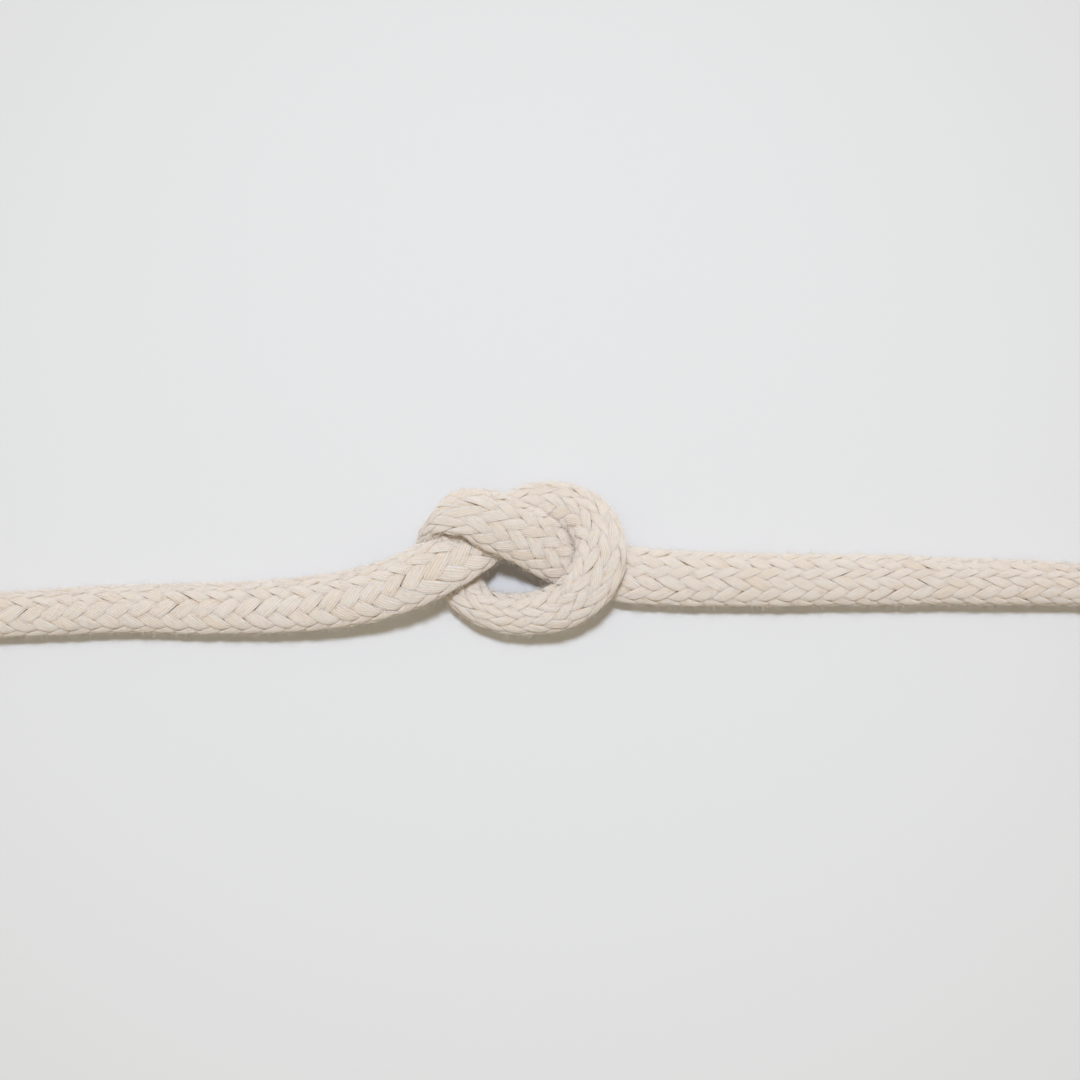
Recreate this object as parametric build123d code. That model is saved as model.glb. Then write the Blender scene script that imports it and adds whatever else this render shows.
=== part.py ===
from build123d import *
import math
import os

# Braided cotton line, 3 m of it: a run with a loose overhand knot in it, and the rest in a tied hank.
# Millimetres. +X runs along the line, from the free end of the run to the hank. +Z is up.
# The origin is the middle of the box, on the surface that the line lies on.

# The rope: a braided cover on a core of parallel yarns
ROPE_R = 5.0
CORE_R = 3.2
ARC_SHARE = 0.45          # how much of the shorter run an arc takes up on each side of its corner

# Twine whippings let into both ends, flush with the rope
WHIP_LENGTH = 12.0
WHIP_FROM_END = 2.5
WHIP_DEPTH = 0.7

# The hank: turns with a loop at each end, drawn in to a waist by the tie
HANK_X = 120.5
HANK_HALF = 94.5          # half its length
LOOP_R = 37.5             # outside of the end loops
WAIST_HALF = 18.6         # half the width at the waist
HANK_TOP = 29.5           # three layers of rope
HANK_LEFT_TOP = 40.0      # one layer more where the turns cross the run that comes in under them
HANK_STEP_X = 90.5        # where that raised part ends

# The tie round the waist
TIE_WIDTH = 16.0
TIE_THICK = 2.2
TIE_INNER_HALF = 19.6
TIE_SHOULDER_Z = 27.0
TIE_ROOF_HALF = 4.5
TIE_TOP = 40.0            # inside of the roof, just clear of the tail

# The line of the run: whipped end, rise to the knot, three crossings, and on to the hank
RUN = [
    (-215.0, -6.0, 5.0),
    (-185.0, -6.0, 5.0),
    (-154.5, -4.0, 5.0),
    (-132.5, -3.0, 9.5),
    (-118.0, -1.0, 16.0),
    (-107.0, 3.0, 18.0),
    (-97.5, 12.4, 8.5),
    (-91.0, 18.8, 7.0),
    (-81.0, 18.2, 9.5),
    (-74.5, 11.0, 15.0),
    (-75.0, 2.0, 18.5),
    (-82.5, -6.2, 14.0),
    (-93.5, -8.6, 8.0),
    (-103.0, -6.5, 5.0),
    (-110.5, 0.0, 5.0),
    (-116.0, 11.0, 8.5),
    (-111.5, 18.5, 19.0),
    (-101.5, 17.4, 24.0),
    (-93.0, 9.5, 20.5),
    (-86.0, 5.2, 9.0),
    (-77.5, 3.0, 5.0),
    (-64.0, 1.8, 5.0),
    (-46.0, 1.3, 5.0),
    (-26.0, 1.4, 5.0),
    (-5.0, 1.0, 5.0),
    (14.0, 0.5, 5.0),
    (33.0, -1.0, 5.0),
]

# The line of the tail, which lies on the hank and ends in the second whipping
TAIL = [
    (84.0, -5.7, 34.6),
    (126.0, -0.6, 34.6),
    (168.5, -3.2, 34.6),
]


def arc_radii(points):
    """The radius at each corner of a route: as large as its two runs allow."""
    radii = []
    for before, corner, after in zip(points, points[1:], points[2:]):
        arriving = Vector(*corner) - Vector(*before)
        leaving = Vector(*after) - Vector(*corner)
        turn = math.radians(arriving.get_angle(leaving))
        shorter = min(arriving.length, leaving.length)
        radii.append(ARC_SHARE * shorter / math.tan(turn / 2))
    return radii


def route(points):
    """Straight runs joined by tangent arcs."""
    return FilletPolyline(*points, radius=arc_radii(points))


def along(line, outer_r, inner_r=0.0):
    """A tube, or with no inner radius a rod, along a line."""
    section = Circle(outer_r) - Circle(inner_r) if inner_r else Circle(outer_r)
    return sweep(line.location_at(0) * section, path=line)


def end_plane(tip, inner):
    """A plane at the tip of a route's last run, looking back along that run."""
    return Plane(origin=tip, z_dir=Vector(*inner) - Vector(*tip))


def whipping(tip, inner):
    """The band of twine near one end."""
    start = end_plane(tip, inner).offset(WHIP_FROM_END)
    band = Circle(ROPE_R) - Circle(ROPE_R - WHIP_DEPTH)
    return extrude(start * band, WHIP_LENGTH)


def hank_plan():
    """The hank seen from above: two round end loops and a drawn-in waist, all arcs tangent."""
    reach = HANK_HALF - LOOP_R
    waist_r = (reach**2 + WAIST_HALF**2 - LOOP_R**2) / (2 * (LOOP_R - WAIST_HALF))
    share = LOOP_R / (waist_r + LOOP_R)
    plan = Rectangle(2 * reach * (1 - share), 2 * (WAIST_HALF + waist_r) * share)
    for side in (-1, 1):
        plan -= Pos(0, side * (WAIST_HALF + waist_r)) * Circle(waist_r)
    for side in (-1, 1):
        plan += Pos(side * reach, 0) * Circle(LOOP_R)
    return Pos(HANK_X, 0) * plan


def hank_envelope():
    """The outer shape of the turns, before the tie is let in."""
    body = extrude(hank_plan(), HANK_LEFT_TOP)
    right = HANK_X + HANK_HALF
    lowered = Pos((HANK_STEP_X + right) / 2, 0, (HANK_TOP + HANK_LEFT_TOP) / 2) * Box(
        right - HANK_STEP_X, 3 * LOOP_R, HANK_LEFT_TOP - HANK_TOP
    )
    return body - lowered


def tie_outline(grow):
    """The closed line round the waist and the tail, seen along X."""
    half = TIE_INNER_HALF + grow
    return Polygon(
        (-half, TIE_THICK - grow),
        (half, TIE_THICK - grow),
        (half, TIE_SHOULDER_Z + grow / 2),
        (TIE_ROOF_HALF + grow / 2, TIE_TOP + grow),
        (-TIE_ROOF_HALF - grow / 2, TIE_TOP + grow),
        (-half, TIE_SHOULDER_Z + grow / 2),
        align=None,
    )


def tie():
    """The band of twine that holds the hank."""
    ring = tie_outline(TIE_THICK) - tie_outline(0.0)
    across = Plane(origin=(HANK_X - TIE_WIDTH / 2, 0, 0), x_dir=(0, 1, 0), z_dir=(1, 0, 0))
    return extrude(across * ring, TIE_WIDTH)


def as_expected(name, part, line, outer_r, inner_r=0.0):
    """Prints how a tube's volume compares with its section times its length."""
    section = math.pi * (outer_r**2 - inner_r**2)
    print(f"{name}: length {line.length:.1f}, volume / (section x length) {part.volume / section / line.length:.4f}")


run_line = route(RUN)
tail_line = route(TAIL)
print("arc radii, run:", [round(r, 1) for r in arc_radii(RUN)])
print("arc radii, tail:", [round(r, 1) for r in arc_radii(TAIL)])

hank_tie = tie()
envelope = hank_envelope()
run_whipping = whipping(RUN[0], RUN[1])
tail_whipping = whipping(TAIL[-1], TAIL[-2])

cover_run = along(run_line, ROPE_R, CORE_R)
core_run = along(run_line, CORE_R)
cover_tail = along(tail_line, ROPE_R, CORE_R)
core_tail = along(tail_line, CORE_R)
as_expected("cover_run", cover_run, run_line, ROPE_R, CORE_R)
as_expected("core_run", core_run, run_line, CORE_R)

parts = {
    "cover_run": cover_run - envelope - run_whipping,
    "core_run": core_run - envelope,
    "cover_tail": cover_tail - envelope - tail_whipping,
    "core_tail": core_tail - envelope,
    "stowed_hank": envelope - hank_tie,
    "hank_tie": hank_tie,
    "run_end_whipping": run_whipping,
    "tail_end_whipping": tail_whipping,
}

os.makedirs("parts", exist_ok=True)
for node, part in parts.items():
    part.label = node
    export_step(part, f"parts/{node}.step")
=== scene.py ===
"""A 10 mm braided cotton dock line with an overhand knot, its spare length put away in a tied hank.

Every strand of the braid follows one centreline. Lengths are in metres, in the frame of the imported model.
"""

import math
import bpy
import numpy as np
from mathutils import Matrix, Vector


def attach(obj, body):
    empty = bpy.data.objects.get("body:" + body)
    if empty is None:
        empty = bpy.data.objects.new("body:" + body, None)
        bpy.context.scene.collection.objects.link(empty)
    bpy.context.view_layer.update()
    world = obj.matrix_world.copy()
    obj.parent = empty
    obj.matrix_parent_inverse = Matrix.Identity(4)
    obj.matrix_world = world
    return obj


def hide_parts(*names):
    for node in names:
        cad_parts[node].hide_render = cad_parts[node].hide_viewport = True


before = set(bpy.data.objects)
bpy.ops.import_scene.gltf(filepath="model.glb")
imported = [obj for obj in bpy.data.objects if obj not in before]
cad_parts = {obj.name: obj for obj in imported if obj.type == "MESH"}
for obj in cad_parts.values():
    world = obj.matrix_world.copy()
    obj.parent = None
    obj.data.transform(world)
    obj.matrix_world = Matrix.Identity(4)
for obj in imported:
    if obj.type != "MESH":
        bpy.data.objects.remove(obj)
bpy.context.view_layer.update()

MM = 0.001
UP = (0.0, 0.0, 1.0)

# ---------------------------------------------------------------- the rope
ROPE_D = 10.0 * MM

# The route from the loose end to the hank. Each row is a point, then how thick the rope is along the
# way that it is pressed and how wide across it, as shares of its diameter, and that way.
RUN = [
    ((-0.2150, -0.0060, 0.0048), 0.92, 0.92, UP),
    ((-0.1900, -0.0053, 0.0048), 0.94, 0.89, UP),
    ((-0.1700, -0.0040, 0.0048), 0.94, 0.93, UP),
    ((-0.1545, -0.0043, 0.0048), 0.94, 1.00, UP),
    ((-0.1320, -0.0033, 0.0070), 0.92, 1.06, UP),
    ((-0.1180, -0.0003, 0.0100), 0.88, 1.10, UP),
    ((-0.1077, 0.0048, 0.0124), 0.78, 1.13, UP),
    ((-0.0980, 0.0114, 0.0060), 0.76, 1.10, UP),
    ((-0.0915, 0.0157, 0.0054), 0.88, 0.98, UP),
    ((-0.0830, 0.0154, 0.0068), 0.94, 0.94, UP),
    ((-0.0781, 0.0098, 0.0102), 0.88, 0.98, UP),
    ((-0.0788, 0.0024, 0.0122), 0.80, 1.02, UP),
    ((-0.0844, -0.0036, 0.0085), 0.94, 0.94, UP),
    ((-0.0935, -0.0056, 0.0058), 1.02, 0.83, UP),
    ((-0.1018, -0.0042, 0.0050), 0.98, 0.74, UP),
    ((-0.1066, 0.0022, 0.0040), 0.76, 0.90, UP),
    ((-0.1095, 0.0083, 0.0054), 0.72, 1.00, (0.50, -0.60, 0.62)),
    ((-0.1084, 0.0134, 0.0112), 0.50, 1.04, (0.62, -0.78, 0.00)),
    ((-0.1046, 0.0147, 0.0158), 0.58, 0.98, (0.35, -0.45, -0.82)),
    ((-0.0994, 0.0128, 0.0142), 0.74, 1.15, UP),
    ((-0.0927, 0.0099, 0.0106), 0.78, 1.17, UP),
    ((-0.0862, 0.0060, 0.0062), 0.80, 1.14, UP),
    ((-0.0795, 0.0034, 0.0044), 0.80, 1.12, UP),
    ((-0.0700, 0.0018, 0.0049), 0.90, 1.10, UP),
    ((-0.0500, 0.0013, 0.0049), 0.94, 1.05, UP),
    ((-0.0280, 0.0014, 0.0049), 0.94, 1.00, UP),
    ((-0.0060, 0.0010, 0.0049), 0.96, 0.91, UP),
    ((0.0160, 0.0005, 0.0048), 0.98, 0.83, UP),
    ((0.0340, -0.0010, 0.0048), 0.95, 0.95, UP),
]
ENTER = [(0.0520, -0.0016, 0.0048), (0.0720, -0.0028, 0.0050), (0.0940, -0.0042, 0.0062)]
HANK_SHARE = 0.95                       # the rope's thickness in the hank, where turns press on turns

# The hank: six flat turns in two lanes and three levels, drawn together at the waist.
HANK_X = 0.1205
REACH = 0.0570                          # from the waist to where the end loops begin
LOOP_REACH = 0.95                       # a loop's radius over its control points' radius
LANE_R = (0.0234, 0.0327)
WAIST_Y = (0.0046, 0.0138)
FLOOR_Z, LEVEL_Z = 0.0048, 0.0096
WAIST_FLOOR_Z, WAIST_LEVEL_Z = 0.0068, 0.0092
IN, OUT = 0, 1
TURNS = [(IN, 0), (OUT, 0), (OUT, 1), (IN, 1), (IN, 2), (OUT, 2)]
SHIFT_FIRST, SHIFT_STEP, SHIFT_WIDTH = -0.98, 0.17, 0.36    # where a turn changes lane, as shares of REACH
HUMP_Z, HUMP_Y = 0.0115, 0.0260         # the left loops pass over the rope that comes in
TAIL = [
    (0.0565, -0.0310, 0.0305), (0.0705, -0.0250, 0.0352), (0.0855, -0.0120, 0.0356),
    (0.1065, -0.0030, 0.0348), (0.1305, -0.0006, 0.0346), (0.1505, -0.0016, 0.0344),
    (0.1685, -0.0032, 0.0343),
]

# ---------------------------------------------------------------- the braid
PER_HAND = 12                           # strands that go round each way
# At these lengths along it, the rope is turned this far about its line.
TURN_AT = (0.000, 0.095, 0.140, 0.175, 0.215, 0.235, 0.260, 0.290, 0.335)
TURN = (0.44, 0.46, 0.80, 0.87, 0.77, 0.82, 0.70, 0.67, 0.42)
LAY = 50.0 * MM                         # the rope's length for one turn of a strand
STRAND_T = 0.84 * MM
RIDE_A = 0.40 * MM                      # how far a strand rides over and under the middle
RIDE_R = ROPE_D / 2 - RIDE_A - STRAND_T / 2
YARNS = 6
YARN_GROOVE = 0.11 * MM
YARN_SLACK = 0.035 * MM                 # how far single yarns stand off the strand
CORE_R = 3.65 * MM
FINE_STEP, COARSE_STEP = 0.45 * MM, 0.9 * MM
FINE_LENGTH = 0.385                     # the stretch with the knot has the fine mesh
WHIP_START, WHIP_LENGTH = 2.5 * MM, 12.0 * MM
WHIP_FADE = 4 * MM                      # the rope widens again over this length
WHIP_SQUEEZE = 0.86
FIBRE_KNOTS, FIBRE_SIDES = 4, 3
FIBRE_R, FIBRE_ROOT = 0.022 * MM, 0.25 * MM    # a loose fibre's radius, and how deep it starts
FIBRE_LENGTH = (0.5 * MM, 1.9 * MM)
FIBRES = 9500                           # in each piece
RUN_LENGTH = 0.36                       # of the rope's length, outside the hank
BAKE_ROWS = 18                          # strips per strand in the layout for baked textures

rng = np.random.default_rng(11)


def ease(t):
    t = np.clip(t, 0.0, 1.0)
    return t * t * (3 - 2 * t)


def slot_at(turn, f):
    """How far from the middle line and how high a turn lies, f of the way from waist (0) to loop (1)."""
    lane, level = turn
    out = ease(abs(f))
    low = WAIST_FLOOR_Z + WAIST_LEVEL_Z * level
    return (
        WAIST_Y[lane] + (LANE_R[lane] - WAIST_Y[lane]) * out,
        low + (FLOOR_Z + LEVEL_Z * level - low) * out,
    )


def loop_points(turn, side):
    """Control points of one end loop, side 1 at +X and -1 at -X."""
    lane, level = turn
    radius = LANE_R[lane] / LOOP_REACH
    points = []
    for degrees in (-54, -18, 18, 54):
        a = math.radians(degrees)
        off = min(1.0, abs(math.sin(a)) * radius / HUMP_Y)
        hump = 0.0 if side > 0 else HUMP_Z * math.cos(off * math.pi / 2) ** 2
        points.append((
            HANK_X + side * (REACH + radius * math.cos(a)),
            side * radius * math.sin(a),
            FLOOR_Z + LEVEL_Z * level + hump,
        ))
    return points


def hank_points():
    """Each turn moves over from its neighbour's place, the top turn first, so that none cuts through."""
    points = []
    for i, turn in enumerate(TURNS):
        before = TURNS[max(0, i - 1)]
        middle = SHIFT_FIRST + SHIFT_STEP * (len(TURNS) - 1 - i)
        for f in (-1, -0.8, -0.6, -0.4, -0.2, 0) if i else (0,):
            share = ease((f - middle) / SHIFT_WIDTH + 0.5)
            a, b = slot_at(before, f), slot_at(turn, f)
            points.append((
                HANK_X + f * REACH,
                -(a[0] + (b[0] - a[0]) * share),
                a[1] + (b[1] - a[1]) * share,
            ))
        for f in (0.5, 1):
            y, z = slot_at(turn, f)
            points.append((HANK_X + f * REACH, -y, z))
        points += loop_points(turn, 1)
        for f in (1, 0.5, 0, -0.5, -1):
            y, z = slot_at(turn, f)
            points.append((HANK_X + f * REACH, y, z))
        points += loop_points(turn, -1)
    return points


def spline_points(points):
    """The points of the smooth NURBS line that has the given control points."""
    curve = bpy.data.curves.new("route", "CURVE")
    curve.dimensions = "3D"
    curve.resolution_u = 32
    line = curve.splines.new("NURBS")
    line.points.add(len(points) - 1)
    for point, co in zip(line.points, points):
        point.co = (*co, 1.0)
    line.order_u = 3
    line.use_endpoint_u = True
    holder = bpy.data.objects.new("route", curve)
    mesh = bpy.data.meshes.new_from_object(holder)
    co = np.empty(len(mesh.vertices) * 3)
    mesh.vertices.foreach_get("co", co)
    bpy.data.objects.remove(holder)
    bpy.data.curves.remove(curve)
    bpy.data.meshes.remove(mesh)
    return co.reshape(-1, 3)


def arc_length(points):
    return np.concatenate([[0.0], np.cumsum(np.linalg.norm(np.diff(points, axis=0), axis=1))])


def at_lengths(points, where):
    s = arc_length(points)
    return np.stack([np.interp(where, s, points[:, k]) for k in range(3)], 1)


def unit(v):
    return v / np.linalg.norm(v, axis=-1, keepdims=True)


class Line:
    """A line with a frame that turns as little as it can, at even steps: tangent t, and u and v across it."""

    def __init__(self, points, step=0.4 * MM, first_u=UP):
        self.length = arc_length(points)[-1]
        count = int(round(self.length / step))
        self.s = np.linspace(0.0, self.length, count + 1)
        self.p = at_lengths(points, self.s)
        self.t = unit(np.gradient(self.p, axis=0))
        u = np.array(first_u, float)
        u = unit(u - self.t[0] * (u @ self.t[0]))
        self.u = np.empty_like(self.p)
        self.u[0] = u
        for i in range(count):
            a = self.p[i + 1] - self.p[i]
            c = a @ a
            u_mid = u - a * (2 / c) * (a @ u)
            t_mid = self.t[i] - a * (2 / c) * (a @ self.t[i])
            b = self.t[i + 1] - t_mid
            d = b @ b
            u = u_mid - b * (2 / d) * (b @ u_mid) if d > 1e-18 else u_mid
            self.u[i + 1] = u
        self.v = np.cross(self.t, self.u)

    def at(self, s):
        """Place, tangent, u and v at the lengths s."""
        def take(a):
            return np.stack([np.interp(s, self.s, a[:, k]) for k in range(3)], -1)
        t = unit(take(self.t))
        u = take(self.u)
        u = unit(u - t * (u * t).sum(-1, keepdims=True))
        return take(self.p), t, u, np.cross(t, u)


route = [row[0] for row in RUN] + ENTER + hank_points() + TAIL
smooth_route = spline_points(route)
rope = Line(smooth_route)
print("rope length", round(rope.length, 4), "points", len(route))


def pressed_tensors():
    """Lengths along the rope, and at each the tensor that maps an offset to its pressed one."""
    lengths = arc_length(smooth_route)
    spans = len(route) - 2
    keys_s, keys_m = [], []
    for k, (_, thick, across, way) in enumerate(RUN):
        index = int(np.clip((k - 0.5) / spans, 0, 1) * (len(smooth_route) - 1))
        s = lengths[index]
        _, t, _, _ = rope.at(np.array([s]))
        press = np.array(way, float)
        press = unit(press - t[0] * (press @ t[0]))
        keys_s.append(s)
        keys_m.append(across * np.eye(3) + (thick - across) * np.outer(press, press))
    keys_s.append(keys_s[-1] + 0.02)
    keys_m.append(HANK_SHARE * np.eye(3))
    return np.array(keys_s), np.array(keys_m)


press_s, press_m = pressed_tensors()


def press_at(s):
    """The pressing tensors at the lengths s, blended smoothly from key to key."""
    i = np.clip(np.searchsorted(press_s, s) - 1, 0, len(press_s) - 2)
    share = ease((s - press_s[i]) / (press_s[i + 1] - press_s[i]))[..., None, None]
    return press_m[i] * (1 - share) + press_m[i + 1] * share


def squeeze_at(s):
    """The share of its radius that the rope keeps near its ends, where the whippings bind it."""
    from_end = np.minimum(s, rope.length - s)
    bound = ease(from_end / WHIP_START) * (1 - ease((from_end - WHIP_START - WHIP_LENGTH) / WHIP_FADE))
    return 1 - (1 - WHIP_SQUEEZE) * bound


def on_rope(s, angle, radius):
    """Points about the rope's line at s, pressed as the rope is, and never in the floor."""
    p, t, u, v = rope.at(s)
    offset = (radius * np.cos(angle))[..., None] * u + (radius * np.sin(angle))[..., None] * v
    offset = np.einsum("...ij,...j->...i", press_at(s), offset)
    offset -= t * (offset * t).sum(-1, keepdims=True)
    offset *= squeeze_at(s)[..., None]
    points = p + offset
    points[..., 2] = np.maximum(points[..., 2], 0.05 * MM)
    return points


# ---------------------------------------------------------------- mesh helpers
def build_mesh(name, verts, faces, uv=None, lay=None, shade=None):
    """A smooth mesh from faces given as a list of index arrays, one array for each number of corners."""
    mesh = bpy.data.meshes.new(name)
    loops = np.concatenate([f.ravel() for f in faces]).astype(np.int32)
    sizes = np.concatenate([np.full(len(f), f.shape[1]) for f in faces]).astype(np.int32)
    starts = np.concatenate([[0], np.cumsum(sizes)[:-1]]).astype(np.int32)
    mesh.vertices.add(len(verts))
    mesh.vertices.foreach_set("co", np.asarray(verts, np.float32).ravel())
    mesh.loops.add(len(loops))
    mesh.loops.foreach_set("vertex_index", loops)
    mesh.polygons.add(len(sizes))
    mesh.polygons.foreach_set("loop_start", starts)
    mesh.polygons.foreach_set("use_smooth", np.ones(len(sizes), bool))
    mesh.update(calc_edges=True)
    if uv is not None:
        layer = mesh.uv_layers.new(name="OFBake")
        corners = np.concatenate([c.reshape(-1, 2) for c in uv])
        layer.uv.foreach_set("vector", corners.astype(np.float32).ravel())
    if lay is not None:
        layer = mesh.attributes.new("lay", "FLOAT_VECTOR", "POINT")
        layer.data.foreach_set("vector", np.asarray(lay, np.float32).ravel())
    if shade is not None:
        # the height attribute sets how much painted shade the cotton material puts on
        layer = mesh.attributes.new("height", "FLOAT", "POINT")
        layer.data.foreach_set("value", np.asarray(shade, np.float32).ravel())
    mesh.validate()
    piece = bpy.data.objects.new(name, mesh)
    bpy.context.scene.collection.objects.link(piece)
    return piece


def wander(phases, s, lengths=(0.011, 0.027, 0.063)):
    """A slow, seeded unevenness along s, from -1 to 1."""
    return sum(np.sin(2 * math.pi * s / wave + phase) for wave, phase in zip(lengths, phases)) / len(lengths)


# A strand's section: outer side from w -1 to 1 with its yarns, then back along the flat inner side.
OUTER_W = np.linspace(-1, 1, 4 * YARNS + 1)
INNER_W = np.array([0.667, 0.333, 0.0, -0.333, -0.667])
RING_W = np.concatenate([OUTER_W, INNER_W])
IS_OUTER = np.arange(len(RING_W)) < len(OUTER_W)
COARSE = np.array([0, 4, 8, 12, 16, 20, 24, 27])


def section(w, outer, phases, s, fine):
    """Height of a strand's surface over its middle at w across it, and how deep in a yarn groove that is,
    which also sets painted shade.

    Where the mesh is coarse there are no single yarns, only sides that fall away, with more painted shade
    towards the edges.
    """
    dome = np.sqrt(np.clip(1 - np.abs(w) ** 3.2, 0, 1))
    place = (w + 1) / 2 * YARNS
    yarn = np.minimum(np.floor(place), YARNS - 1)
    ridge = np.sqrt(np.clip(1 - (2 * (place - yarn) - 1) ** 2, 0, 1))
    groove = (1 - ridge) * (0.7 + 0.3 * wander(phases, s + w * 0.013, (0.0052, 0.0133, 0.031)))
    # painted shade towards a strand's edges where the mesh has no yarns
    if not fine:
        groove = 0.2 + 0.6 * np.abs(w) ** 4 + 0 * s
    slack = YARN_SLACK * ridge * np.sin(2 * math.pi * s / (0.0071 + 0.0013 * yarn) + phases[0] + 2.4 * yarn)
    top = STRAND_T / 2 * dome - YARN_GROOVE * groove + slack
    bottom = -STRAND_T / 2 * 0.7 * dome
    return np.where(outer, top, bottom), np.where(outer, groove, 0.0)


def strand_rings(index, hand, s, columns, phases):
    """The strand's rings at the lengths s: points, and how high each lies in the braid from 0 to 1, less its
    depth in a yarn groove; low values get painted shade.
    """
    s = s[:, None]
    w = RING_W[columns][None, :]
    outer = IS_OUTER[columns][None, :]
    turns = s / LAY
    met = index + w / 2 + hand * 2 * PER_HAND * turns
    over = np.cos(math.pi / 2 * (index + met - 0.5)) * hand
    width = 0.99 + 0.12 * over + 0.08 * wander(phases[0], s)
    angle = (
        hand * 2 * math.pi * turns + 2 * math.pi * index / PER_HAND
        + w * math.pi / PER_HAND * width + 0.04 * wander(phases[1], s)
    )
    crowded = 0.10 * np.sin(2 * angle + 3 * s) + 0.07 * np.sin(3 * angle - 9 * s + 1.0)
    angle = np.interp(s, TURN_AT, TURN) + angle + crowded
    ride = RIDE_A * np.sin(math.pi / 2 * over)
    surface, groove = section(w, outer, phases[3], s, len(columns) == len(RING_W))
    radius = RIDE_R + ride + 0.09 * MM * wander(phases[2], s) + surface
    points = on_rope(s + 0 * w, angle, radius)
    height = (radius - RIDE_R + RIDE_A) / (2 * RIDE_A + STRAND_T / 2)
    # height less groove depth: where this is low the cotton gets painted shade
    return points, np.clip(height, 0, 1) - 0.45 * groove


def strip_uv(s_pair, columns_pair, row0, rows, count=len(RING_W)):
    """Bake layout of a face: a strip of the strand's length for each row, with room between rows."""
    row_length = rope.length / BAKE_ROWS
    row = np.floor(s_pair.mean(-1, keepdims=True) / row_length)
    x = 0.01 + 0.98 * (s_pair - row * row_length) / (row_length * 1.01)
    y = (row0 + np.clip(row, 0, BAKE_ROWS - 1) + 0.08 + 0.84 * columns_pair / count) / rows
    return np.stack([x, y], -1)


def strand_parts(index, hand, row0, rows):
    """Vertices, faces and layouts of one strand, fine where the knot is and coarser in the hank."""
    phases = rng.uniform(0, 2 * math.pi, (4, 3))
    full, few = np.arange(len(RING_W)), COARSE
    fine_s = np.arange(0, FINE_LENGTH, FINE_STEP)
    rest = rope.length - fine_s[-1]
    coarse_s = fine_s[-1] + np.linspace(0, rest, int(rest / COARSE_STEP) + 1)[1:]
    fine_p, fine_h = strand_rings(index, hand, fine_s, full, phases)
    coarse_p, coarse_h = strand_rings(index, hand, coarse_s, few, phases)
    n, m = len(full), len(few)
    first_coarse = fine_p.shape[0] * n
    verts = np.concatenate([fine_p.reshape(-1, 3), coarse_p.reshape(-1, 3)])
    height = np.concatenate([fine_h.ravel(), coarse_h.ravel()])

    def quads(ring_count, per_ring, start, s, columns):
        ring = np.arange(ring_count - 1)[:, None]
        col = np.arange(per_ring)[None, :]
        nxt = (col + 1) % per_ring
        a = start + ring * per_ring
        face = np.stack([a + col, a + nxt, a + per_ring + nxt, a + per_ring + col], -1).reshape(-1, 4)
        c0 = columns[col]
        c1 = np.where(nxt == 0, len(RING_W), columns[nxt])
        s0, s1 = s[:-1, None], s[1:, None]
        ss = np.stack(np.broadcast_arrays(s0, s0, s1, s1 + 0 * c0), -1).reshape(-1, 4)
        cc = np.stack(np.broadcast_arrays(c0, c1, c1, c0 + 0 * s0), -1).reshape(-1, 4)
        return face, strip_uv(ss, cc, row0, rows)

    fine_f, fine_uv = quads(len(fine_s), n, 0, fine_s, full)
    coarse_f, coarse_uv = quads(len(coarse_s), m, first_coarse, coarse_s, few)
    last_fine = first_coarse - n
    joins, join_uv = {}, {}
    for k in range(m):
        a, b = few[k], few[(k + 1) % m]
        along = list(range(b if b > a else n, a - 1, -1))
        face = [first_coarse + k, first_coarse + (k + 1) % m] + [last_fine + c % n for c in along]
        columns = np.array([a, b if b > a else n] + along, float)
        s_face = np.array([coarse_s[0]] * 2 + [fine_s[-1]] * len(along))
        joins.setdefault(len(face), []).append(face[::-1])
        join_uv.setdefault(len(face), []).append(strip_uv(s_face, columns, row0, rows)[::-1])
    faces = [fine_f, coarse_f] + [np.array(joins[k]) for k in sorted(joins)]
    uv = [fine_uv, coarse_uv] + [np.array(join_uv[k]) for k in sorted(joins)]
    last_ring = first_coarse + (len(coarse_s) - 1) * m + np.arange(m)
    for cap, strip in ((np.arange(n)[::-1], 0.5), (last_ring, BAKE_ROWS - 0.5)):
        turn = np.linspace(0, 2 * math.pi, len(cap), endpoint=False)
        centre = np.array([0.004, (row0 + strip) / rows])
        faces.append(cap[None, :])
        uv.append((centre + 0.003 * np.stack([np.cos(turn), np.sin(turn)], -1))[None])
    s_all = np.concatenate([np.repeat(fine_s, n), np.repeat(coarse_s, m)])
    w_all = np.concatenate([np.tile(full, len(fine_s)), np.tile(few, len(coarse_s))])
    strand_id = index + PER_HAND * (hand > 0)
    lay = np.stack([RING_W[w_all] * YARNS / 2, s_all / (10 * MM), np.full(len(s_all), 3.7 * strand_id)], 1)
    return verts, faces, uv, lay, height


def strand_pair(index):
    """One strand of each hand, as one piece."""
    rows = 2 * BAKE_ROWS
    made = [strand_parts(index, hand, k * BAKE_ROWS, rows) for k, hand in enumerate((1, -1))]
    offset = len(made[0][0])
    faces = made[0][1] + [f + offset for f in made[1][1]]
    return build_mesh(
        f"cover_strands_{index + 1:02d}",
        np.concatenate([m[0] for m in made]),
        faces,
        uv=[u for m in made for u in m[2]],
        lay=np.concatenate([m[3] for m in made]),
        shade=np.concatenate([m[4] for m in made]),
    )


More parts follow.
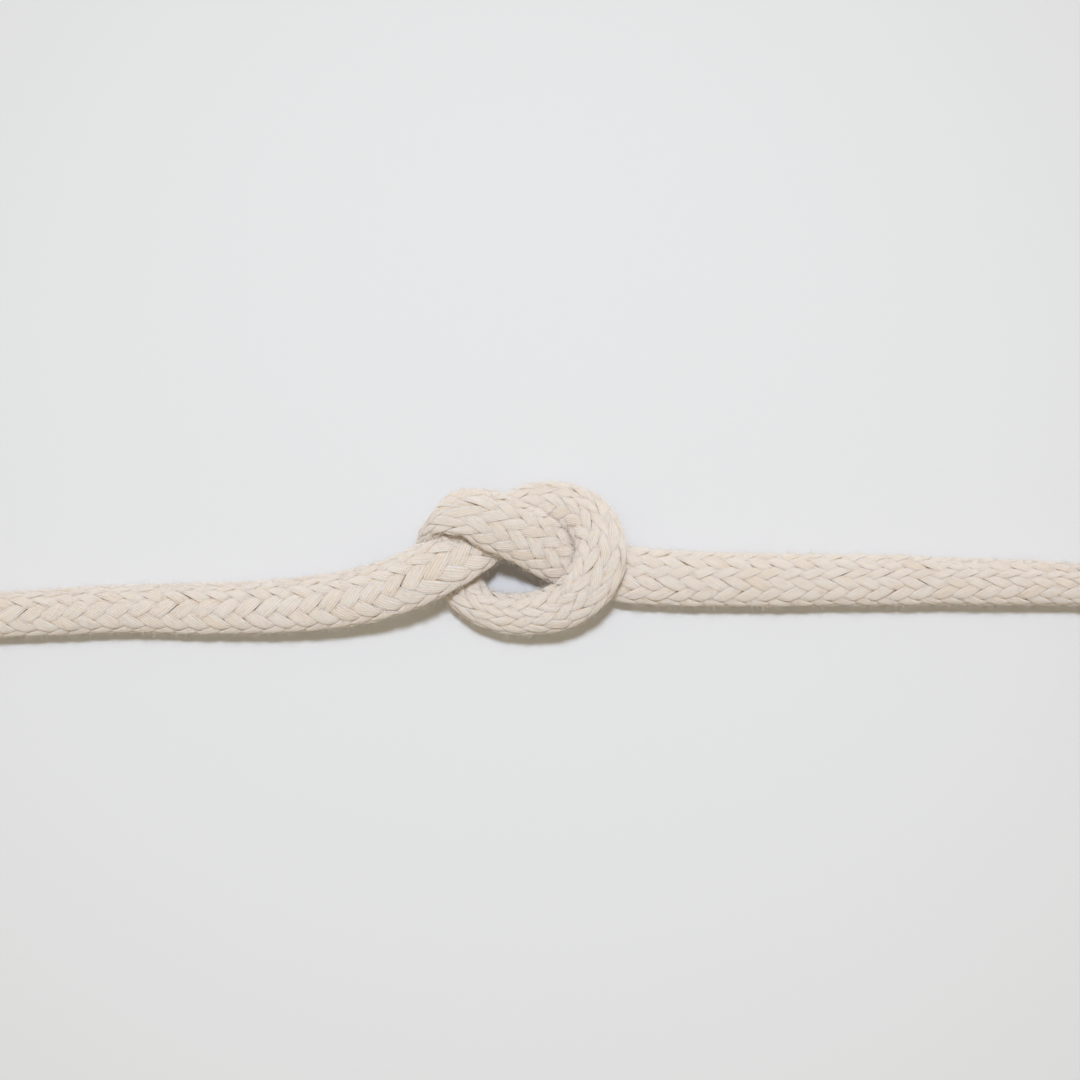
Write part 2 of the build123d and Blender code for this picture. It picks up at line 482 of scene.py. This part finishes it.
def tube(name, rings, lay, shade):
    """A closed tube through rings of points, with its ends capped."""
    count, per = rings.shape[:2]
    ring = np.arange(count - 1)[:, None] * per
    col = np.arange(per)[None, :]
    nxt = (col + 1) % per
    quads = np.stack([ring + col, ring + nxt, ring + per + nxt, ring + per + col], -1).reshape(-1, 4)
    caps = np.array([np.arange(per)[::-1], (count - 1) * per + np.arange(per)])
    rows = max(1, int(round(math.sqrt(count / per))))
    per_row = math.ceil((count - 1) / rows)
    row = np.repeat(np.arange(count - 1) // per_row, per)
    inside = np.repeat(np.arange(count - 1) % per_row, per)
    c = np.tile(np.arange(per), count - 1)
    x0 = 0.01 + 0.98 * inside / per_row
    x1 = 0.01 + 0.98 * (inside + 1) / per_row
    y0 = (row + 0.08 + 0.84 * c / per) / rows
    y1 = (row + 0.08 + 0.84 * (c + 1) / per) / rows
    uv = np.stack([x0, y0, x0, y1, x1, y1, x1, y0], -1).reshape(-1, 4, 2)
    turn = np.linspace(0, 2 * math.pi, per, endpoint=False)
    round_uv = 0.004 * np.stack([np.cos(turn), np.sin(turn)], -1)
    cap_uv = np.array([round_uv + (0.005, 0.5 / rows), round_uv + (0.995, 0.5 / rows)])
    return build_mesh(
        name, rings.reshape(-1, 3), [quads, caps],
        uv=[uv, cap_uv], lay=lay.reshape(-1, 3), shade=shade.ravel(),
    )


def core_piece():
    """The bundle of straight yarns that fills the cover, with rounded ends."""
    end_s = np.array([0.15, 0.30, 0.50, 0.75]) * MM
    middle_s = np.linspace(1.1 * MM, rope.length - 1.1 * MM, int(rope.length / (1.2 * MM)))
    s = np.concatenate([end_s, middle_s, rope.length - end_s[::-1]])[:, None]
    a = np.linspace(0, 2 * math.pi, 24, endpoint=False)[None, :]
    lobes = np.abs(np.cos(4 * a + 2 * math.pi * s / 0.09))
    radius = CORE_R * (0.93 + 0.07 * lobes)
    end = np.minimum(s, rope.length - s) / (0.9 * MM)
    radius = radius * np.sqrt(np.clip(end, 0.05, 1))
    points = on_rope(s + 0 * a, a + 0 * s, radius)
    lay = np.stack(np.broadcast_arrays(a * 10 / math.pi, s / (10 * MM), 91.0), -1)
    # painted shade: a height of 0.15 gives the whole core nearly its full shade colour, as though deep in a
    # crease
    return tube("core_yarns", points, lay, 0.15 + 0 * radius)


def twine(name, line, diameter, strands=3, pitch=3.2, step=0.22, per=18):
    """Laid twine along a Line, with a ridge for each strand. Pitch and step are in diameters."""
    s = np.linspace(0, line.length, int(line.length / (step * diameter)) + 1)[:, None]
    a = np.linspace(0, 2 * math.pi, per, endpoint=False)[None, :]
    wind = strands * (a - 2 * math.pi * s / (pitch * diameter))
    ridge = np.abs(np.cos(wind / 2))
    radius = diameter / 2 * (0.80 + 0.20 * np.sqrt(ridge))
    ends = np.minimum(s, line.length - s) / (0.35 * diameter)
    radius = radius * np.sqrt(np.clip(ends, 0.1, 1))
    p, _, u, v = line.at(s[:, 0])
    points = p[:, None] + (radius * np.cos(a))[..., None] * u[:, None]
    points = points + (radius * np.sin(a))[..., None] * v[:, None]
    lay = np.stack(np.broadcast_arrays(wind / (2 * math.pi) + 0.5, s / (10 * MM), 57.0), -1)
    # painted shade: the ridge value as height darkens the grooves between the twine's strands
    return tube(name, points, lay, ridge)


def whipping(name, from_end, start_angle):
    """Turns of thin twine that bind the rope near one end, the last one tucked under them."""
    diameter, turns = 0.72 * MM, 15
    pitch = (WHIP_LENGTH - diameter) / turns
    t = np.linspace(0, turns, turns * 40 + 1)
    s = WHIP_START + diameter / 2 + pitch * t
    on_cover = ROPE_D / 2 + 0.45 * diameter / WHIP_SQUEEZE
    radius = on_cover * (1 - 0.16 * (1 - ease(t / 0.5)) - 0.16 * ease((t - turns + 0.5) / 0.5))
    s = s if from_end == "start" else rope.length - s
    path = on_rope(s, start_angle + 2 * math.pi * t, radius)
    return twine(name, Line(path, 0.12 * MM, first_u=(0.3, 0.2, 1.0)), diameter)


def tie_piece():
    """Seven turns of twine round the waist, over the rope's end that lies on top, with two short ends."""
    diameter, turns = 2.2 * MM, 7
    reach = HANK_SHARE * ROPE_D / 2 + diameter / 2
    top_y, top_z = TAIL[4][1], TAIL[4][2]
    low = WAIST_FLOOR_Z
    high = WAIST_FLOOR_Z + 2 * WAIST_LEVEL_Z
    sides = (-WAIST_Y[OUT], WAIST_Y[OUT])
    held = np.array([(y, z) for y in sides for z in (low, high)] + [(top_y, top_z)])
    angle = np.linspace(0, 2 * math.pi, 361)
    way = np.stack([np.sin(angle), np.cos(angle)], -1)
    best = (held @ way.T).argmax(0)
    outline = held[best] + reach * way
    outline[:, 1] = np.maximum(outline[:, 1], diameter / 2)
    along = np.concatenate([[0], np.cumsum(np.linalg.norm(np.diff(outline, axis=0), axis=1))])
    round_once = along[-1]
    pitch = 1.04 * diameter
    x0 = HANK_X - pitch * turns / 2
    x1 = x0 + pitch * turns
    t = np.linspace(0, turns, turns * 90 + 1)
    where = (t % 1.0) * round_once
    where[-1] = round_once
    y = np.interp(where, along, outline[:, 0])
    z = np.interp(where, along, outline[:, 1])
    wound = np.stack([x0 + pitch * t, y, z], -1)
    crown = top_z + reach
    lead = [
        (x0 - 0.0125, 0.0035, crown - 0.0012),
        (x0 - 0.0080, 0.0010, crown + 0.0002),
        (x0 - 0.0030, -0.0012, crown + 0.0003),
    ]
    leave = [
        (x1 + 0.0030, 0.0008, crown + 0.0003),
        (x1 + 0.0080, -0.0020, crown - 0.0002),
        (x1 + 0.0125, -0.0045, crown - 0.0016),
    ]
    path = np.concatenate([lead, wound, leave])
    path_length = arc_length(path)[-1]
    path = at_lengths(path, np.linspace(0, path_length, int(path_length / (0.5 * MM))))
    for _ in range(3):
        path[1:-1] = (path[:-2] + 2 * path[1:-1] + path[2:]) / 4
    return twine("hank_tie_twine", Line(path, 0.3 * MM, first_u=(1.0, 0.1, 0.2)), diameter)


def stray_fibres(name, count, start, end):
    """Short loose fibres that stand off the cotton between two lengths along the rope."""
    s = rng.uniform(start, end, count)
    angle = rng.uniform(0, 2 * math.pi, count)
    foot = on_rope(s, angle, np.full(count, ROPE_D / 2 - FIBRE_ROOT))
    p, t, _, _ = rope.at(s)
    out = unit(foot - p)
    stand = rng.uniform(0.25, 1.0, (count, 1))
    along = rng.normal(0, 0.8, (count, 1))
    aside = rng.normal(0, 0.8, (count, 1))
    lean = unit(out * stand + t * along + np.cross(t, out) * aside)
    bend = unit(np.cross(lean, rng.normal(0, 1, (count, 3))))
    length = rng.uniform(*FIBRE_LENGTH, count)
    knots = np.linspace(0, 1, FIBRE_KNOTS)
    curl = rng.uniform(-0.5, 0.5, (count, 1, 1)) * length[:, None, None]
    line = foot[:, None] + lean[:, None] * (length[:, None] * knots)[..., None]
    line = line + bend[:, None] * curl * (knots**2)[None, :, None]
    line[..., 2] = np.maximum(line[..., 2], 0.06 * MM)
    direction = unit(np.gradient(line, axis=1))
    side = unit(np.cross(direction, UP) + 1e-6)
    other = np.cross(direction, side)
    thick = FIBRE_R * (1 - 0.6 * knots)[None, :, None, None]
    corner = np.linspace(0, 2 * math.pi, FIBRE_SIDES, endpoint=False)
    around = side[:, :, None] * np.cos(corner)[:, None] + other[:, :, None] * np.sin(corner)[:, None]
    verts = (line[:, :, None] + thick * around).reshape(-1, 3)
    per_fibre = FIBRE_KNOTS * FIBRE_SIDES
    root = np.arange(count)[:, None] * per_fibre
    ring = root[:, :, None] + np.arange(FIBRE_KNOTS - 1)[None, :, None] * FIBRE_SIDES
    col = np.arange(FIBRE_SIDES)[None, None, :]
    nxt = (col + 1) % FIBRE_SIDES
    quads = np.stack([ring + col, ring + nxt, ring + FIBRE_SIDES + nxt, ring + FIBRE_SIDES + col], -1)
    cap = np.arange(FIBRE_SIDES)
    caps = np.concatenate([root + cap[::-1], root + per_fibre - FIBRE_SIDES + cap])
    lay = np.repeat(np.stack([np.full(count, 0.5), s / (10 * MM), 7 * angle], 1), per_fibre, axis=0)
    return build_mesh(name, verts, [quads.reshape(-1, 4), caps], lay=lay, shade=np.ones(len(verts)))


# ---------------------------------------------------------------- materials
def node_of(tree, kind, **values):
    node = tree.nodes.new(kind)
    for key, value in values.items():
        setattr(node, key, value)
    return node


# groove is the colour of painted tan shade, and it also tints random tone patches
def cotton(name, light, dark, groove, fibre_across=1.7, bump_height=0.13, rough=0.92):
    """Natural cotton: fibres along each yarn, yarns a little different in tone, and painted tan shade in the
    gaps between yarns and where the surface lies low in the braid.
    """
    material = bpy.data.materials.new(name)
    material.use_nodes = True
    tree = material.node_tree
    shader = tree.nodes["Principled BSDF"]
    shader.inputs["Roughness"].default_value = rough
    shader.inputs["Specular IOR Level"].default_value = 0.25
    shader.inputs["Diffuse Roughness"].default_value = 1.0
    shader.inputs["Sheen Weight"].default_value = 0.30
    shader.inputs["Sheen Roughness"].default_value = 0.5
    shader.inputs["Sheen Tint"].default_value = (1.0, 0.88, 0.72, 1.0)
    shader.inputs["Subsurface Weight"].default_value = 0.32
    shader.inputs["Subsurface Radius"].default_value = (1.0, 0.75, 0.50)
    shader.inputs["Subsurface Scale"].default_value = 1.5 * MM
    lay = node_of(tree, "ShaderNodeAttribute", attribute_name="lay")
    height = node_of(tree, "ShaderNodeAttribute", attribute_name="height")

    def mapped(scale, rotation=(0, 0, 0)):
        mapping = node_of(tree, "ShaderNodeMapping")
        mapping.inputs["Scale"].default_value = scale
        mapping.inputs["Rotation"].default_value = rotation
        tree.links.new(lay.outputs["Vector"], mapping.inputs["Vector"])
        return mapping.outputs["Vector"]

    def noise(vector, scale, detail=2.0, roughness=0.6):
        node = node_of(tree, "ShaderNodeTexNoise")
        node.inputs["Scale"].default_value = scale
        node.inputs["Detail"].default_value = detail
        node.inputs["Roughness"].default_value = roughness
        tree.links.new(vector, node.inputs["Vector"])
        return node.outputs["Fac"]

    def math_of(operation, value, other=None):
        node = node_of(tree, "ShaderNodeMath", operation=operation)
        for socket, source in zip(node.inputs, (value, other)):
            if source is None or isinstance(source, (int, float)):
                socket.default_value = source or 0.0
            else:
                tree.links.new(source, socket)
        return node.outputs[0]

    fibres = noise(mapped((fibre_across, 3.4, 1.0), (0, 0, 0.12)), 1.0, 4.0, 0.7)
    yarn_tone = noise(mapped((1.3, 0.8, 1.0)), 1.0, 1.0, 0.5)
    patches = noise(mapped((0.12, 0.35, 0.35)), 1.0, 2.0, 0.5)
    across = node_of(tree, "ShaderNodeSeparateXYZ")
    tree.links.new(lay.outputs["Vector"], across.inputs["Vector"])
    from_groove = math_of("ABSOLUTE", math_of("SUBTRACT", math_of("FRACT", across.outputs["X"]), 0.5))

    def ramp(value, low, high):
        node = node_of(tree, "ShaderNodeMapRange")
        node.inputs["From Min"].default_value = low
        node.inputs["From Max"].default_value = high
        tree.links.new(value, node.inputs["Value"])
        return node.outputs["Result"]

    def mix(share, a, b, weight=1.0):
        node = node_of(tree, "ShaderNodeMix", data_type="RGBA")
        if weight != 1.0:
            times = node_of(tree, "ShaderNodeMath", operation="MULTIPLY")
            times.inputs[1].default_value = weight
            tree.links.new(share, times.inputs[0])
            share = times.outputs[0]
        tree.links.new(share, node.inputs["Factor"])
        for socket, value in ((node.inputs["A"], a), (node.inputs["B"], b)):
            if isinstance(value, tuple):
                socket.default_value = (*value, 1.0)
            else:
                tree.links.new(value, socket)
        return node.outputs["Result"]

    # Fibres, then yarns and patches of another tone, then painted shade: the tan shade colour in the grooves
    # between yarns, and where the height attribute says the surface lies low between strands.
    tone = mix(ramp(fibres, 0.30, 0.70), dark, light)
    tone = mix(ramp(yarn_tone, 0.42, 0.72), tone, dark, 0.55)
    tone = mix(ramp(patches, 0.50, 0.75), tone, groove, 0.18)
    # painted shade: tan lines along the gaps between yarns, unevenly strong
    between = math_of("MULTIPLY", ramp(from_groove, 0.26, 0.48), math_of("ADD", patches, 0.45))
    tone = mix(between, tone, groove, 0.55)
    # painted shade: nearly the full shade colour where the surface lies low in the braid or deep in a groove
    tone = mix(ramp(height.outputs["Fac"], 0.70, 0.15), tone, groove, 0.90)
    tree.links.new(tone, shader.inputs["Base Color"])
    raised = math_of("SUBTRACT", fibres, math_of("MULTIPLY", between, 0.55))
    bump = node_of(tree, "ShaderNodeBump")
    bump.inputs["Strength"].default_value = 0.55
    bump.inputs["Distance"].default_value = bump_height * MM
    tree.links.new(raised, bump.inputs["Height"])
    tree.links.new(bump.outputs["Normal"], shader.inputs["Normal"])
    return material


# Each set: light and dark cotton tones, then the colour of painted tan shade for gaps and low parts, which
# also tints random patches.
COTTON_LIGHT = (0.900, 0.852, 0.812)
COTTON_DARK = (0.820, 0.732, 0.646)
COTTON_SHADE_AND_PATCHES = (0.820, 0.605, 0.410)
CORE_COLOURS = (0.84, 0.71, 0.57), (0.74, 0.61, 0.47), (0.64, 0.49, 0.34)
TWINE_COLOURS = (0.87, 0.825, 0.76), (0.79, 0.735, 0.66), (0.60, 0.49, 0.38)


def floor_material():
    """Matt white board."""
    material = bpy.data.materials.new("floor_board")
    material.use_nodes = True
    shader = material.node_tree.nodes["Principled BSDF"]
    shader.inputs["Base Color"].default_value = (0.80, 0.80, 0.80, 1.0)
    shader.inputs["Roughness"].default_value = 0.9
    shader.inputs["Specular IOR Level"].default_value = 0.15
    return material


# ---------------------------------------------------------------- camera, floor and light
VIEW_X, VIEW_Y, VIEW_Z = -0.0900, 0.0090, 0.0050
VIEW_FROM = 0.55
VIEW_WIDTH = 0.2077
LIT = (-0.090, 0.005, 0.0)              # the lamps stand on one line from here
KEY_WAY = (0.0, 0.287, 1.0)             # the way of that line
KEY_FAR, BEAM_FAR = 1.5, 0.6
BEAM_AT = (-0.095, 0.005, 0.0)
FLOOR_HALF = 3.0
KEY_SOFT = 0.110                        # a lamp's width over its distance
KEY_COLOUR = (0.815, 0.892, 1.02)


def add_camera():
    """A camera straight above the knot."""
    data = bpy.data.cameras.new("camera")
    data.sensor_width = 36.0
    data.lens = data.sensor_width * VIEW_FROM / VIEW_WIDTH
    camera = bpy.data.objects.new("camera", data)
    camera.location = (VIEW_X, VIEW_Y, VIEW_Z + VIEW_FROM)
    bpy.context.scene.collection.objects.link(camera)
    bpy.context.scene.camera = camera


def add_lamp(name, kind, distance, target, energy):
    """A lamp on the line that the light comes from."""
    data = bpy.data.lights.new(name, kind)
    data.energy = energy
    data.color = KEY_COLOUR
    lamp = bpy.data.objects.new(name, data)
    lamp.location = Vector(LIT) + distance * Vector(KEY_WAY)
    lamp.rotation_mode = "QUATERNION"
    lamp.rotation_quaternion = (Vector(target) - lamp.location).to_track_quat("-Z", "Y")
    bpy.context.scene.collection.objects.link(lamp)
    return data


def add_stage():
    """The floor, a far lamp for the whole of it, a mild beam on the knot, and warm light from all round."""
    corners = [(FLOOR_HALF * x, FLOOR_HALF * y, 0) for x, y in ((-1, -1), (1, -1), (1, 1), (-1, 1))]
    mesh = bpy.data.meshes.new("floor")
    mesh.from_pydata(corners, [], [(0, 1, 2, 3)])
    floor = bpy.data.objects.new("floor", mesh)
    floor.data.materials.append(floor_material())
    bpy.context.scene.collection.objects.link(floor)
    key = add_lamp("key", "AREA", KEY_FAR, LIT, 14.2)
    key.shape = "DISK"
    key.size = KEY_FAR * KEY_SOFT
    beam = add_lamp("beam", "SPOT", BEAM_FAR, BEAM_AT, 2.2)
    beam.spot_size = math.radians(38)
    beam.spot_blend = 1.0
    beam.shadow_soft_size = BEAM_FAR / 2 * KEY_SOFT
    world = bpy.data.worlds.new("studio")
    world.use_nodes = True
    world.node_tree.nodes["Background"].inputs["Color"].default_value = (1.0, 0.885, 0.67, 1.0)
    world.node_tree.nodes["Background"].inputs["Strength"].default_value = 0.40
    bpy.context.scene.world = world
    bpy.context.scene.view_settings.view_transform = "Standard"


# ---------------------------------------------------------------- the object
add_camera()
add_stage()

cover_cotton = cotton("cotton", COTTON_LIGHT, COTTON_DARK, COTTON_SHADE_AND_PATCHES)
core_cotton = cotton("core_cotton", *CORE_COLOURS)
twine_cotton = cotton("twine", *TWINE_COLOURS, fibre_across=5.0, bump_height=0.04, rough=0.85)


def place(piece, material, slot, *nodes):
    """Gives a piece its finish and its body, and hides the model's nodes that it stands for; slot is not
    used.
    """
    piece.data.materials.append(material)
    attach(piece, "root")
    if nodes:
        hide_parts(*nodes)
    return piece


pairs = [
    place(strand_pair(i), cover_cotton, "cotton", "cover_run", "cover_tail", "stowed_hank")
    for i in range(PER_HAND)
]
core = place(core_piece(), core_cotton, "core_yarn", "core_run", "core_tail")
run_whipping = place(whipping("run_end_twine", "start", 0.7), twine_cotton, "twine", "run_end_whipping")
tail_whipping = place(whipping("tail_end_twine", "end", 2.1), twine_cotton, "twine", "tail_end_whipping")
tie = place(tie_piece(), twine_cotton, "twine", "hank_tie")
fibres = [
    place(stray_fibres(name, FIBRES, start, end), cover_cotton, "cotton")
    for name, start, end in (
        ("stray_fibres_run_1", 0.001, RUN_LENGTH),
        ("stray_fibres_run_2", 0.001, RUN_LENGTH),
        ("stray_fibres_run_3", 0.001, RUN_LENGTH),
        ("stray_fibres_hank", RUN_LENGTH, rope.length),
    )
]
